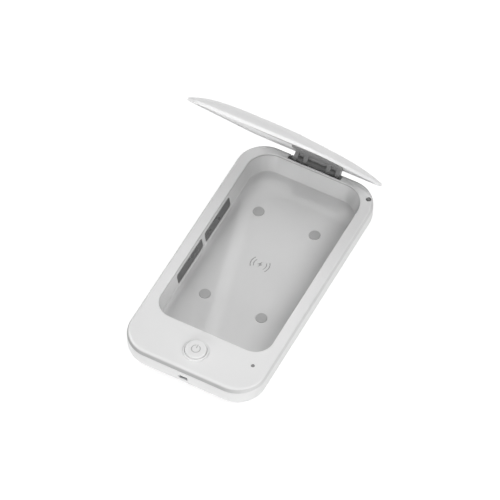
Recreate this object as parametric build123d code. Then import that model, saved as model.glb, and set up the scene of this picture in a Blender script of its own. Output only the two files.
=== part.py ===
"""UV sanitizer box for phones: a shallow tub with a domed lid on a rear hinge.

Millimetres. +Z is up, +Y points to the hinge, +X to the right of a person facing the button end.
Pieces are drawn with the body centred on X = Y = 0 and the feet on Z = 0, the lid drawn closed.
The lid is then turned open, and everything slides along Y so that the origin is the middle of the
whole object's footprint.
"""
from build123d import *
import os
from math import atan2, cos, degrees, radians, sin

os.makedirs("parts", exist_ok=True)

# ---------------------------------------------------------------- body casing
BODY_W = 117.5            # outside width
BODY_L = 224.0            # outside length
CORNER_R = 24.0           # plan corner radius of the casing
FOOT_STAND = 1.5          # how far the feet hold the shell off the table
SHELL_H = 20.5            # height of the lower shell
BELLY_R = 12.5            # rounding between the shell's side and its underside
WALL = 2.0                # casing wall
SHELL_EDGE_R = 0.5        # rounding of the shell's rim at the parting line
PARTING_GAP = 0.3         # shadow line between shell and cover
COVER_DROP = 3.2          # height of the cover's rounded edge
SIDE_ROUND = 2.2          # how far that rounding reaches in at the sides
FRONT_ROUND = 4.2         # the same at the front
REAR_ROUND = 6.5          # the same at the rear
PLATE_T = 2.0             # thickness of the cover's flat deck
LIP_T = 1.2               # locating lip under the cover
LIP_H = 3.0               # how far the lip reaches into the shell
LIP_CLEAR = 0.2           # gap between lip and shell wall

# ---------------------------------------------------------------- phone cavity
RIM_SIDE = 10.0           # deck beside the opening
RIM_FRONT = 40.0          # deck in front of it, with the button
RIM_REAR = 7.6            # deck behind it
CAVITY_R_FRONT = 15.0
CAVITY_R_REAR = 19.0
UNDERFLOOR = 5.5          # room between the shell and the cavity's floor
DRAFT_SIDE = 2.3          # how far the side and front walls lean in at the floor
DRAFT_REAR = 5.0          # the same for the rear wall
TRAY_WALL = 1.4
TRAY_FLOOR = 1.8
FLOOR_FILLET = 1.0        # rounding between the walls and the floor
RIM_FILLET = 0.8          # rounding of the opening's edge in the deck
FLANGE_OUT = 2.5          # tray flange under the deck
FLANGE_T = 1.6
PAD_R = 4.5               # soft pads that the phone lies on
PAD_PROUD = 0.4
PAD_SUNK = 0.5
PAD_EDGE_R = 0.28
PAD_DX = 24.8             # pads stand at plus and minus this X
PAD_DY = 44.8             # and this far in front of and behind the charging centre
CHARGE_FORWARD = 1.8      # charging centre in front of the cavity's middle

# ---------------------------------------------------------------- lamp windows in the side walls
SLOT_L = 41.5             # one slot
SLOT_GAP = 4.0            # bridge between the two slots of a wall
SLOT_FORWARD = 3.9        # middle of the slots in front of the charging centre
SLOT_BELOW_DECK = 5.0     # top of the slots
SLOT_ABOVE_FLOOR = 0.7    # bottom of the slots
SLOT_R = 2.6
WINDOW_END = 3.0          # window beyond the slots, front and rear
WINDOW_LAP = 1.0          # window beyond the slots, above and below
WINDOW_T = 1.0
WINDOW_SINK = 0.6         # window plug behind the wall's inner surface
WINDOW_CLEAR = 0.1        # play of the plug in its slot
LED_GAP = 0.4             # air between window and LEDs
UV_LED = (1.3, 3.5, 3.5)  # thickness, length, height of one LED
LED_WELL_R = 1.26
LED_WELL_DEPTH = 0.43
UV_LED_COUNT = 6          # LEDs on each side
STRIP_T = 1.0             # LED board thickness
STRIP_LAP = 0.4           # LED board below the slots
CLIP_T = 2.4              # end clips that hold window and LED board
CLIP_LAP = 0.5            # clips above and below the LED board

# ---------------------------------------------------------------- button and light
BUTTON_INSET = 20.8       # middle of the button behind the front
BUTTON_R = 8.6
BUTTON_PROUD = 3.0
BUTTON_EDGE_R = 1.1
BUTTON_TRAVEL = 0.8
BUTTON_SKIN = 1.5
BUTTON_FLANGE = 1.0       # flange round the button's foot
BUTTON_FLANGE_T = 1.4
SLIDE_CLEAR = 0.3         # button to bezel
BEZEL_T = 1.3             # width of the bezel's collar
BEZEL_PROUD = 1.4
BEZEL_EDGE_R = 0.9
BEZEL_BELOW = 1.4         # bezel's spigot below the deck plate
SPIGOT_T = 0.25
SPIGOT_CLEAR = 0.05
STOP_CLEAR = 0.3          # gap kept between parts of different bodies
SYMBOL_DEPTH = 0.3
SYMBOL_LINE = 0.8         # stroke of both symbols
POWER_RING_R = 3.4
POWER_GAP = 2.6
POWER_BAR = 3.6
ARC_RADII = (5.2, 7.8)    # arcs of the charging symbol
BOLT = [(0.9, 3.2), (-2.2, -0.5), (-0.3, -0.5), (-0.9, -3.2), (2.2, 0.5), (0.3, 0.5)]
LIGHT_INSET = (13.75, 29.0)   # indicator, from the right side and the front
LIGHT_R = 1.5
LIGHT_SUNK = 0.2
LIGHT_COLLAR = 0.9        # collar under the deck plate
LIGHT_COLLAR_T = 1.2
LIGHT_GAP = 0.4           # air between the LED and the pipe

# ---------------------------------------------------------------- lid switch
LID_SWITCH_INSET = (5.25, 10.7)   # its plunger, from the inside of the shell's right and rear walls
LID_SWITCH_HOLE_R = 2.1
PLUNGER_R = 1.0
PLUNGER_EDGE_R = 0.7
PLUNGER_PROUD = 0.2
PLUNGER_TRAVEL = 1.5
PLUNGER_FIT = 0.05        # radial running clearance of the switch plungers
STROKE_ROOM = 0.2         # room left under a plunger at the end of its stroke
LID_SWITCH_BODY = (4.7, 4.4, 6.0)
LID_SWITCH_BORE_FLOOR = 1.5
LID_SWITCH_INWARD = 0.85  # middle of the switch behind its plunger, towards the cavity
LID_SWITCH_DROP = 6.7     # top of the switch below the deck

# ---------------------------------------------------------------- electronics
BOARD_T = 1.6
BOARD_DROP = 11.15        # top of the control board below the deck
BOARD_CLEAR = 2.0         # board behind the front wall
BOARD_TO_TRAY = 2.5       # board in front of the tray's flange
BOARD_EDGE = 6.0          # board beyond its left screws
BOARD_CUT = 15.0          # corner cut that clears the casing's corner
BOARD_SIDE_CLEAR = 5.0    # board beyond the indicator
BOARD_POST_CLEAR = 0.5    # board round the cover's posts
DRIVER_CHIP = (6.0, 6.0, 1.2)
DRIVER_AT = (15.0, 14.0)  # from the middle and from the front
CAPACITOR = (2.5, 4.0)    # radius, height
CAPACITOR_AT = (-16.0, 20.0)
USB = (7.5, 5.6, 2.7)     # width, depth, height of the charging socket
USB_R = 0.675
USB_LIP = 0.35            # sheet thickness of the socket
USB_BACK = 1.0            # closed rear end
USB_TONGUE = (4.5, 0.5)   # width and thickness of the contact tongue
USB_TONGUE_BACK = 0.8     # tongue behind the socket's mouth
USB_SETBACK = 0.4         # socket face behind the casing's face
USB_WINDOW_CLEAR = 0.3
TACT = (6.0, 6.0, 3.4)
TACT_FLOOR = 1.0
TACT_PLUNGER_R = 1.6
STEM_WALL = 0.6           # button stem beyond the switch plunger
STATUS_LED = (3.2, 1.6, 0.5)
STATUS_DOME = (0.7, 0.6)  # radius, height
COIL_R = 22.0
COIL_BORE_R = 10.0
COIL_T = 1.2
FERRITE_R = 24.0
FERRITE_T = 0.8
CHARGER_BOARD = (50.0, 34.0, 1.0)
CHARGER_FORWARD = 48.4    # its middle in front of the charging centre
CHARGER_LIFT = 1.5        # above the shell's inner floor
CHARGER_CHIP = (8.0, 8.0, 1.0)
CHARGER_POST_INSET = 5.0  # posts from the board's edges

# ---------------------------------------------------------------- fasteners and feet
FOOT_INSET = (20.75, 24.0)    # feet and corner screws, from the side and the front or rear
FOOT_R = 6.0
FOOT_SEAT = 1.0
FOOT_CLEAR = 0.1
FOOT_EDGE_R = 0.6
SCREW_R = 1.25
SCREW_HEAD_R = 2.3
SCREW_HEAD_T = 1.2
SCREW_HOLE_CLEAR = 0.15
SCREW_END_ROOM = 0.4      # blind hole beyond a screw's end
HEAD_CLEAR = 0.3
POST_R = 3.2
POST_GAP = 0.3            # between a shell post and the post that meets it
DRIVE_R = 0.9             # across the points of the hexagon socket
DRIVE_DEPTH = 0.7
FRONT_SEAT_LIFT = 3.5     # seat of the front screws above the shell's inner floor
FRONT_SEAT_T = 4.7        # plastic between that seat and the post's top
FRONT_SCREW_L = 9.0
REAR_SEAT_LIFT = 0.4
REAR_SEAT_T = 0.9
REAR_SCREW_L = 4.0
BOARD_POST_X = 24.0
BOARD_POST_INSETS = (10.0, 29.0)  # board posts behind the front
BOARD_POST_R = 2.6
BOARD_SCREW_L = 6.0

# ---------------------------------------------------------------- hinge
HINGE_INSET = 1.3         # axis in front of the casing's rear
HINGE_DROP = 5.5          # axis below the deck
PIN_R = 1.25
PIN_FIT = 0.05
PIN_END = 0.3             # pin beyond the cheeks
LUG_R = 2.9
KNUCKLE_R = 2.5
LUG_INNER = (8.4, 11.8)   # lid lugs, X on the right side
LUG_OUTER = (16.8, 20.2)
WASHER_GAP = 0.3          # between lugs and knuckles
WASHER_T = 0.24
WASHER_R = 2.4
WASHER_FIT = 0.02
CHEEK_T = 2.5
WEB_R = (2.8, 4.2)        # curved web that joins the lugs in front of the pin
WEB_SPAN = (100, 185)     # degrees above the rearward direction, lid closed
WEB_OVERLAP = 12          # degrees over which it runs into the plate
NOTCH_SIDE = 0.5          # notch in the casing beyond the cheeks
NOTCH_AHEAD = 5.3         # and in front of the axis
NOTCH_ROOM = 0.6          # and below the web's circle
HINGE_PLATE_T = 1.4
HINGE_PLATE_SINK = 0.4    # plate below the notch
HINGE_PLATE_LAP = 0.8     # plate in front of the cavity's rear edge
HINGE_POST_AT = (4.6, 4.3)    # from the middle and in front of the axis
FOOT_SPREAD = (0.5, 2.2)  # knuckle feet on the plate, behind the notch's front
LID_OPEN = 57.0           # degrees from closed to the resting pose

# ---------------------------------------------------------------- lid
LID_SIDE_INSET = 0.5      # rim inside the casing's sides
LID_FRONT_INSET = 5.0     # and behind its front
LID_BEHIND = 1.7          # rim behind the hinge axis
LID_R = 20.0
LID_GAP = 0.7             # closed lid above the deck
LID_EDGE = 2.4            # height of the rim
LID_EDGE_R = 1.1          # rounding between rim and dome
LID_UNDER_R = 0.5         # rounding under the rim
LID_CROWN = 7.35          # rise of the dome above the rim
LID_CROWN_POWER = 4.45
LID_APEX = 34.7           # the dome's top lies this far behind the lid's front
LID_APEX_ROUND = 0.9      # corner radius of the topmost plan, as a share of its half width
CROWN_SHARES = (1.0, 0.965, 0.925, 0.875, 0.81, 0.73, 0.63, 0.5, 0.35, 0.2, 0.1)
LID_SKIN = 1.8
LID_SHOULDER = 0.4        # extra thickness where the rim meets the dome
LINER_CLEAR = 0.5         # gap between liner and rim
LINER_T = 0.8
LINER_LIFT = 3.2          # liner above the rim's lower edge
LINER_SHARE = 0.86        # its outline, as a share of the rim's
BOSS_R = 2.4
LINER_POST_INSET = 18.25  # bosses that hold the liner, from the lid's sides
LINER_POST_Y = (-62.7, 5.3, 73.3)     # and along it from its middle
BRACKET_SIDE = 0.7        # plate beyond the outer lugs
BRACKET_AHEAD = 18.7      # plate's front edge in front of the axis
BRACKET_BACK = 1.2        # plate's rear edge in front of the axis
BRACKET_T = 1.2
BRACKET_GAP = 0.3         # gap between plate and dome
BRACKET_STEPS = 6         # flats that the plate follows the dome with
BRACKET_SCREW_AT = (14.3, 13.7)   # from the middle and in front of the axis
BRACKET_SCREW_L = 2.4
BRACKET_SCREW_ROOM = 0.1  # blind hole beyond these screws
BRACKET_BOSS_H = 0.7      # lid's bosses for them, below the dome
BRACKET_PAD_R = 3.0       # flat pads round them
LUG_AHEAD = 9.5           # lugs' foremost point under the plate, in front of the axis
LUG_TOE = 0.5             # lugs' front edge runs down this far below the axis
PEG_R = 1.3

# ---------------------------------------------------------------- places and levels that follow from these
FRONT = -BODY_L / 2
REAR = BODY_L / 2
SHELL_BOTTOM = FOOT_STAND
SHELL_FLOOR = SHELL_BOTTOM + WALL
SHELL_TOP = SHELL_BOTTOM + SHELL_H
COVER_BOTTOM = SHELL_TOP + PARTING_GAP
DECK = COVER_BOTTOM + COVER_DROP
DECK_UNDER = DECK - PLATE_T
FLOOR = SHELL_FLOOR + UNDERFLOOR
TRAY_UNDER = FLOOR - TRAY_FLOOR
LIP_BOTTOM = SHELL_TOP - LIP_H

CAVITY_W = BODY_W - 2 * RIM_SIDE
CAVITY_FRONT = FRONT + RIM_FRONT
CAVITY_REAR = REAR - RIM_REAR
CHARGE_Y = (CAVITY_FRONT + CAVITY_REAR) / 2 - CHARGE_FORWARD
SLOT_Y = CHARGE_Y - SLOT_FORWARD
SLOT_SPANS = ((SLOT_Y - SLOT_GAP / 2 - SLOT_L, SLOT_Y - SLOT_GAP / 2),
              (SLOT_Y + SLOT_GAP / 2, SLOT_Y + SLOT_GAP / 2 + SLOT_L))
BUTTON_Y = FRONT + BUTTON_INSET
BUTTON_FLANGE_R = BUTTON_R + BUTTON_FLANGE
BEZEL_BORE_R = BUTTON_R + SLIDE_CLEAR
BEZEL_R = BEZEL_BORE_R + BEZEL_T
BEZEL_SPIGOT_R = BEZEL_BORE_R + SPIGOT_T
LIGHT_POS = (BODY_W / 2 - LIGHT_INSET[0], FRONT + LIGHT_INSET[1])
LID_SWITCH_POS = (BODY_W / 2 - WALL - LID_SWITCH_INSET[0], REAR - WALL - LID_SWITCH_INSET[1])
LID_SWITCH_TOP = DECK - LID_SWITCH_DROP
LID_SWITCH_Z = LID_SWITCH_TOP - LID_SWITCH_BODY[2]
BOARD_TOP = DECK - BOARD_DROP
BOARD_Z = BOARD_TOP - BOARD_T
CHARGER_Y = CHARGE_Y - CHARGER_FORWARD
CHARGER_Z = SHELL_FLOOR + CHARGER_LIFT

HINGE_Y = REAR - HINGE_INSET
HINGE_Z = DECK - HINGE_DROP
KNUCKLE = (LUG_INNER[1] + WASHER_GAP, LUG_OUTER[0] - WASHER_GAP)
CHEEK = (LUG_OUTER[1] + STOP_CLEAR, LUG_OUTER[1] + STOP_CLEAR + CHEEK_T)
NOTCH_X = CHEEK[1] + NOTCH_SIDE
NOTCH_FRONT = HINGE_Y - NOTCH_AHEAD
NOTCH_BOTTOM = HINGE_Z - WEB_R[1] - NOTCH_ROOM
HINGE_PLATE_TOP = NOTCH_BOTTOM - HINGE_PLATE_SINK
HINGE_PLATE_Z = HINGE_PLATE_TOP - HINGE_PLATE_T

LID_W = BODY_W - 2 * LID_SIDE_INSET
LID_FRONT = FRONT + LID_FRONT_INSET
LID_REAR = HINGE_Y + LID_BEHIND
LID_MID = (LID_FRONT + LID_REAR) / 2
LID_HALF_L = (LID_REAR - LID_FRONT) / 2
LID_BOTTOM = DECK + LID_GAP
LID_EDGE_TOP = LID_BOTTOM + LID_EDGE
LINER_Z = LID_BOTTOM + LINER_LIFT
LINER_TOP = LINER_Z + LINER_T
LINER_POST_X = LID_W / 2 - LINER_POST_INSET
LINER_POSTS = [(x, LID_MID + y) for x in (-LINER_POST_X, LINER_POST_X) for y in LINER_POST_Y]
BRACKET_HALF_X = LUG_OUTER[1] + BRACKET_SIDE
BRACKET_FRONT = HINGE_Y - BRACKET_AHEAD
BRACKET_REAR = HINGE_Y - BRACKET_BACK
BRACKET_SCREWS = [(x, HINGE_Y - BRACKET_SCREW_AT[1]) for x in (-BRACKET_SCREW_AT[0], BRACKET_SCREW_AT[0])]
TINY = 0.01               # overlap of solids that are joined
OVER = 1.0                # how far a cutting tool runs past a face


def outline(half_x, front, rear, r_front, r_rear):
    """Rectangle with its own corner radius at the front and at the rear."""
    face = Pos(0, (front + rear) / 2) * Rectangle(2 * half_x, rear - front)
    face = fillet(face.vertices().group_by(Axis.Y)[0], r_front)
    return fillet(face.vertices().group_by(Axis.Y)[-1], r_rear)


def body_outline(inset):
    """The casing's plan, drawn in by an even inset."""
    half_l = BODY_L / 2 - inset
    radius = CORNER_R - inset
    return outline(BODY_W / 2 - inset, -half_l, half_l, radius, radius)


def slab(face, low, high):
    return extrude(Pos(0, 0, low) * face, high - low)


def block(x, y, z):
    """Box from three (low, high) spans."""
    centre = [(span[0] + span[1]) / 2 for span in (x, y, z)]
    size = [span[1] - span[0] for span in (x, y, z)]
    return Pos(*centre) * Box(*size)


def standing(size, x, y, low):
    """Box of a given size that stands centred on a place."""
    return Pos(x, y, low + size[2] / 2) * Box(*size)


def rod(x, y, low, high, radius):
    return Pos(x, y, (low + high) / 2) * Cylinder(radius, high - low)


def cross_rod(x_low, x_high, y, z, radius):
    """Cylinder along X."""
    return Pos((x_low + x_high) / 2, y, z) * Rot(0, 90, 0) * Cylinder(radius, x_high - x_low)


def group(pieces):
    """Separate solids under one name."""
    return Compound(children=[solid for piece in pieces for solid in piece.solids()])


def mirrored(piece):
    return mirror(piece, about=Plane.YZ)


def side_profile(points, x_low, x_high):
    """Closed (y, z) outline drawn out along X."""
    face = make_face(Polyline(*[(0, y, z) for y, z in points], close=True))
    return Pos(x_low, 0, 0) * extrude(face, x_high - x_low, dir=(1, 0, 0))


def screw(x, y, seat, length, up=1):
    """Cap screw: its head lies under the seat and its shank points up, or the other way round."""
    head = rod(0, 0, -SCREW_HEAD_T, 0, SCREW_HEAD_R)
    head = chamfer(head.edges().group_by(Axis.Z)[0], SCREW_HEAD_T / 4)
    drive = Pos(0, 0, -SCREW_HEAD_T) * extrude(RegularPolygon(DRIVE_R, 6), DRIVE_DEPTH)
    shank = rod(0, 0, -TINY, length, SCREW_R)
    shank = chamfer(shank.edges().group_by(Axis.Z)[-1], SCREW_R / 3)
    whole = head + shank - drive
    if up < 0:
        whole = Rot(180, 0, 0) * whole
    return Pos(x, y, seat) * whole


def flat_head(x, y, seat, clear=0.0):
    """Cone of a countersunk head whose flat lies on the seat."""
    height = SCREW_HEAD_R - SCREW_R
    return Pos(x, y, seat + height / 2) * Cone(SCREW_HEAD_R + clear, SCREW_R + clear, height)


def flat_screw(x, y, seat, length):
    """Countersunk screw, flush with the seat, pointing up."""
    whole = flat_head(x, y, seat) + rod(x, y, seat + TINY, seat + length, SCREW_R)
    return whole - Pos(x, y, seat) * extrude(RegularPolygon(DRIVE_R, 6), DRIVE_DEPTH)


# ================================================================ casing
def belly(inset, low, high):
    """Block of the casing's plan whose underside is rounded over."""
    solid = slab(body_outline(inset), low, high)
    return fillet(solid.edges().group_by(Axis.Z)[0], BELLY_R - inset)


FOOT_X = BODY_W / 2 - FOOT_INSET[0]
FOOT_Y = REAR - FOOT_INSET[1]
FRONT_POSTS = [(-FOOT_X, -FOOT_Y), (FOOT_X, -FOOT_Y)]
REAR_POSTS = [(-FOOT_X, FOOT_Y), (FOOT_X, FOOT_Y)]
FRONT_SEAT = SHELL_FLOOR + FRONT_SEAT_LIFT
FRONT_POST_TOP = FRONT_SEAT + FRONT_SEAT_T
REAR_SEAT = SHELL_FLOOR + REAR_SEAT_LIFT
REAR_POST_TOP = REAR_SEAT + REAR_SEAT_T
BOARD_POSTS = [(-BOARD_POST_X, FRONT + BOARD_POST_INSETS[0]), (-BOARD_POST_X, FRONT + BOARD_POST_INSETS[1]),
               (BOARD_POST_X, FRONT + BOARD_POST_INSETS[1])]
CHARGER_POST_X = CHARGER_BOARD[0] / 2 - CHARGER_POST_INSET
CHARGER_POST_Y = CHARGER_BOARD[1] / 2 - CHARGER_POST_INSET
CHARGER_POSTS = [(x, CHARGER_Y + y) for x in (-CHARGER_POST_X, CHARGER_POST_X)
                 for y in (-CHARGER_POST_Y, CHARGER_POST_Y)]
HINGE_POSTS = [(x, HINGE_Y - HINGE_POST_AT[1]) for x in (-HINGE_POST_AT[0], HINGE_POST_AT[0])]
USB_Z = BOARD_TOP + USB[2] / 2
USB_FACE = FRONT + USB_SETBACK


def usb_window():
    """Rounded slot through the front wall for the charging plug."""
    width = USB[0] + 2 * USB_WINDOW_CLEAR
    height = USB[2] + 2 * USB_WINDOW_CLEAR
    face = Plane.XZ * RectangleRounded(width, height, USB_R + USB_WINDOW_CLEAR)
    return Pos(0, FRONT + WALL + OVER, USB_Z) * extrude(face, WALL + 2 * OVER, dir=(0, -1, 0))


def hinge_notch(bottom):
    return block((-NOTCH_X, NOTCH_X), (NOTCH_FRONT, BODY_L), (bottom, DECK + OVER))


def edge_reach(edge):
    """How far an edge of the casing lies from the middle, as the inset of the outline that it follows."""
    box = edge.bounding_box()
    across = max(abs(box.min.X), abs(box.max.X))
    along = max(abs(box.min.Y), abs(box.max.Y)) - (BODY_L - BODY_W) / 2
    return max(across, along)


def base_shell():
    outer = belly(0, SHELL_BOTTOM, SHELL_TOP)
    inner = belly(WALL, SHELL_FLOOR, SHELL_TOP + OVER)
    posts = [rod(x, y, SHELL_BOTTOM, FRONT_POST_TOP, POST_R) for x, y in FRONT_POSTS]
    posts += [rod(x, y, SHELL_BOTTOM, REAR_POST_TOP, POST_R) for x, y in REAR_POSTS]
    posts += [rod(x, y, SHELL_BOTTOM, BOARD_Z, BOARD_POST_R) for x, y in BOARD_POSTS]
    posts += [rod(x, y, SHELL_BOTTOM, CHARGER_Z, BOARD_POST_R) for x, y in CHARGER_POSTS]
    posts += [rod(x, y, SHELL_BOTTOM, HINGE_PLATE_Z, BOARD_POST_R) for x, y in HINGE_POSTS]
    posts.append(rod(*LID_SWITCH_POS, SHELL_BOTTOM, LID_SWITCH_Z, BOARD_POST_R))
    shell = outer - inner
    rim = [edge for edge in shell.edges().group_by(Axis.Z)[-1] if edge_reach(edge) > BODY_W / 2 - WALL / 2]
    shell = fillet(rim, SHELL_EDGE_R)
    for post in posts:
        shell = shell + (post & outer)
    for x, y in FRONT_POSTS + REAR_POSTS:
        seat = FRONT_SEAT if y < 0 else REAR_SEAT
        shell = shell - rod(x, y, SHELL_BOTTOM - OVER, SHELL_BOTTOM + FOOT_SEAT, FOOT_R + FOOT_CLEAR)
        shell = shell - rod(x, y, SHELL_BOTTOM, seat, SCREW_HEAD_R + HEAD_CLEAR)
        shell = shell - rod(x, y, seat - OVER, FRONT_POST_TOP + OVER, SCREW_R + SCREW_HOLE_CLEAR)
    for x, y in BOARD_POSTS:
        shell = shell - rod(x, y, BOARD_TOP - BOARD_SCREW_L - SCREW_END_ROOM, BOARD_Z + OVER, SCREW_R)
    for x, y in HINGE_POSTS:
        shell = shell - rod(x, y, HINGE_PLATE_TOP - BOARD_SCREW_L - SCREW_END_ROOM, HINGE_PLATE_Z + OVER, SCREW_R)
    return shell - usb_window() - hinge_notch(NOTCH_BOTTOM)


def cover_section(angle):
    """Plan of the cover part of the way up its rounded edge."""
    reach = 1 - cos(radians(angle))
    side, front, rear = SIDE_ROUND * reach, FRONT_ROUND * reach, REAR_ROUND * reach
    r_front = CORNER_R - (side + front) / 2
    r_rear = CORNER_R - (side + rear) / 2
    face = outline(BODY_W / 2 - side, FRONT + front, REAR - rear, r_front, r_rear)
    return Pos(0, 0, COVER_BOTTOM + COVER_DROP * sin(radians(angle))) * face


def cavity_outline(level, inset=0.0):
    """Plan of the phone cavity at a height; the walls lean in below the deck's plate."""
    lean = (DECK_UNDER - level) / (DECK_UNDER - FLOOR)
    half = CAVITY_W / 2 - DRAFT_SIDE * lean - inset
    front = CAVITY_FRONT + DRAFT_SIDE * lean + inset
    rear = CAVITY_REAR - DRAFT_REAR * lean - inset
    r_front = CAVITY_R_FRONT - DRAFT_SIDE * lean - inset
    r_rear = CAVITY_R_REAR - DRAFT_SIDE * lean - inset
    return Pos(0, 0, level) * outline(half, front, rear, r_front, r_rear)


def in_opening(edge):
    box = edge.bounding_box()
    return box.max.X < CAVITY_W / 2 + TINY and box.min.X > -CAVITY_W / 2 - TINY and box.max.Y < CAVITY_REAR + TINY


def deck_cover():
    cover = loft([cover_section(angle) for angle in (0, 18, 36, 54, 72, 90)])
    cover = cover - slab(body_outline(WALL + LIP_CLEAR + LIP_T), COVER_BOTTOM - OVER, DECK_UNDER)
    lip = slab(body_outline(WALL + LIP_CLEAR), LIP_BOTTOM, DECK_UNDER)
    lip = lip - slab(body_outline(WALL + LIP_CLEAR + LIP_T), LIP_BOTTOM - OVER, DECK_UNDER + OVER)
    cover = cover + lip
    for x, y in FRONT_POSTS:
        cover = cover + rod(x, y, FRONT_POST_TOP + POST_GAP, DECK_UNDER + TINY, POST_R)
    for x, y in FRONT_POSTS:
        cover = cover - rod(x, y, FRONT_POST_TOP, FRONT_SEAT + FRONT_SCREW_L + SCREW_END_ROOM, SCREW_R)
    opening = slab(cavity_outline(DECK_UNDER), -OVER, PLATE_T + OVER)
    cover = cover - opening
    rim = [edge for edge in cover.edges().group_by(Axis.Z)[-1] if in_opening(edge)]
    cover = fillet(rim, RIM_FILLET)
    cover = cover - rod(0, BUTTON_Y, COVER_BOTTOM, DECK + OVER, BEZEL_SPIGOT_R + SPIGOT_CLEAR)
    cover = cover - rod(*LIGHT_POS, COVER_BOTTOM, DECK + OVER, LIGHT_R + SPIGOT_CLEAR)
    cover = cover - rod(*LID_SWITCH_POS, LIP_BOTTOM - OVER, DECK + OVER, LID_SWITCH_HOLE_R)
    return cover - hinge_notch(LIP_BOTTOM - OVER)


SLOT_LOW = FLOOR + SLOT_ABOVE_FLOOR
SLOT_HIGH = DECK - SLOT_BELOW_DECK
SLOT_MID = (SLOT_LOW + SLOT_HIGH) / 2
WALL_TILT = atan2(DRAFT_SIDE, DECK_UNDER - FLOOR)
WALL_SKIN = TRAY_WALL * cos(WALL_TILT)
SLOT_H = (SLOT_HIGH - SLOT_LOW) / cos(WALL_TILT)
WIN_FRONT = SLOT_SPANS[0][0] - WINDOW_END
WIN_REAR = SLOT_SPANS[-1][1] + WINDOW_END
WIN_MID = (WIN_FRONT + WIN_REAR) / 2
WIN_L = WIN_REAR - WIN_FRONT
LED_FRONT = WALL_SKIN + WINDOW_T + LED_GAP
STRIP_FRONT = LED_FRONT + UV_LED[0]
STRIP_BACK = STRIP_FRONT + STRIP_T
STRIP_H = SLOT_H + 2 * STRIP_LAP


def on_wall(face, y, low, high):
    """Outline on the right-hand cavity wall, drawn outwards between two depths behind its inner surface."""
    lean = (DECK_UNDER - SLOT_MID) / (DECK_UNDER - FLOOR)
    wall = Plane(origin=(CAVITY_W / 2 - DRAFT_SIDE * lean, y, SLOT_MID), x_dir=(0, 1, 0),
                 z_dir=(cos(WALL_TILT), 0, -sin(WALL_TILT)))
    return extrude(wall.offset(low) * face, high - low)


def slot_plug(span, inset, low, high):
    """A side slot's rounded outline as a solid."""
    face = RectangleRounded(span[1] - span[0] - 2 * inset, SLOT_H - 2 * inset, SLOT_R - inset)
    return on_wall(face, (span[0] + span[1]) / 2, low, high)


def charge_symbol(top):
    """Bolt between two pairs of arcs: the common mark for wireless charging."""
    cuts = [make_face(Polyline(*BOLT, close=True))]
    for radius in ARC_RADII:
        ring = Circle(radius + SYMBOL_LINE / 2) - Circle(radius - SYMBOL_LINE / 2)
        wedge = make_face(Polyline((0, 0), (20, 16), (20, -16), close=True))
        cuts += [ring & wedge, ring & (Rot(0, 0, 180) * wedge)]
    return [Pos(0, CHARGE_Y, top - SYMBOL_DEPTH) * extrude(face, SYMBOL_DEPTH + OVER) for face in cuts]


def pad_places():
    return [(x, CHARGE_Y + y) for x in (-PAD_DX, PAD_DX) for y in (-PAD_DY, PAD_DY)]


def cavity_tray():
    outer = loft([cavity_outline(DECK_UNDER, -TRAY_WALL), cavity_outline(TRAY_UNDER, -TRAY_WALL)], ruled=True)
    inner = loft([cavity_outline(DECK_UNDER), cavity_outline(FLOOR)], ruled=True)
    inner = fillet(inner.edges().group_by(Axis.Z)[0], FLOOR_FILLET)
    flange_plan = outline(CAVITY_W / 2 + FLANGE_OUT, CAVITY_FRONT - FLANGE_OUT, CAVITY_REAR + FLANGE_OUT,
                          CAVITY_R_FRONT + FLANGE_OUT, CAVITY_R_REAR + FLANGE_OUT)
    tray = outer + slab(flange_plan, DECK_UNDER - FLANGE_T, DECK_UNDER)
    for y in (WIN_FRONT - CLIP_T / 2, WIN_REAR + CLIP_T / 2):
        clip = on_wall(Rectangle(CLIP_T, STRIP_H + 2 * CLIP_LAP), y, WALL_SKIN / 2, STRIP_BACK)
        tray = tray + clip + mirrored(clip)
    for x, y in REAR_POSTS:
        tray = tray + rod(x, y, REAR_POST_TOP + POST_GAP, (FLOOR + TRAY_UNDER) / 2, POST_R)
    tray = tray - inner
    for x, y in REAR_POSTS:
        tray = tray - rod(x, y, REAR_POST_TOP, REAR_SEAT + REAR_SCREW_L + SCREW_END_ROOM, SCREW_R)
    for span in SLOT_SPANS:
        slot = slot_plug(span, 0, -WALL_SKIN, 2 * WALL_SKIN)
        tray = tray - slot - mirrored(slot)
    for x, y in pad_places():
        tray = tray - rod(x, y, FLOOR - PAD_SUNK, FLOOR + OVER, PAD_R + FOOT_CLEAR)
    for cut in charge_symbol(FLOOR):
        tray = tray - cut
    return tray - hinge_notch(NOTCH_BOTTOM)


def phone_pads():
    pads = []
    for x, y in pad_places():
        pad = rod(x, y, FLOOR - PAD_SUNK, FLOOR + PAD_PROUD, PAD_R)
        pads.append(fillet(pad.edges().group_by(Axis.Z)[-1], PAD_EDGE_R))
    return group(pads)


def uv_window():
    """Right-hand window: a pane on the outside of the cavity wall with a plug in each slot."""
    window = on_wall(Rectangle(WIN_L, SLOT_H + 2 * WINDOW_LAP), WIN_MID, WALL_SKIN, WALL_SKIN + WINDOW_T)
    for span in SLOT_SPANS:
        window = window + slot_plug(span, WINDOW_CLEAR, WINDOW_SINK, WALL_SKIN + TINY)
    return window


def uv_board():
    return on_wall(Rectangle(WIN_L, STRIP_H), WIN_MID, STRIP_FRONT, STRIP_BACK)


def uv_leds():
    """Right-hand row of LED packages, shared evenly among the slots."""
    leds = []
    per_slot = UV_LED_COUNT // len(SLOT_SPANS)
    for low, high in SLOT_SPANS:
        step = (high - low) / per_slot
        for index in range(per_slot):
            y = low + (index + 0.5) * step
            body = on_wall(Rectangle(*UV_LED[1:]), y, LED_FRONT, STRIP_FRONT)
            well = on_wall(Circle(LED_WELL_R), y, LED_FRONT - OVER, LED_FRONT + LED_WELL_DEPTH)
            leds.append(body - well)
    return group(leds)


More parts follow.
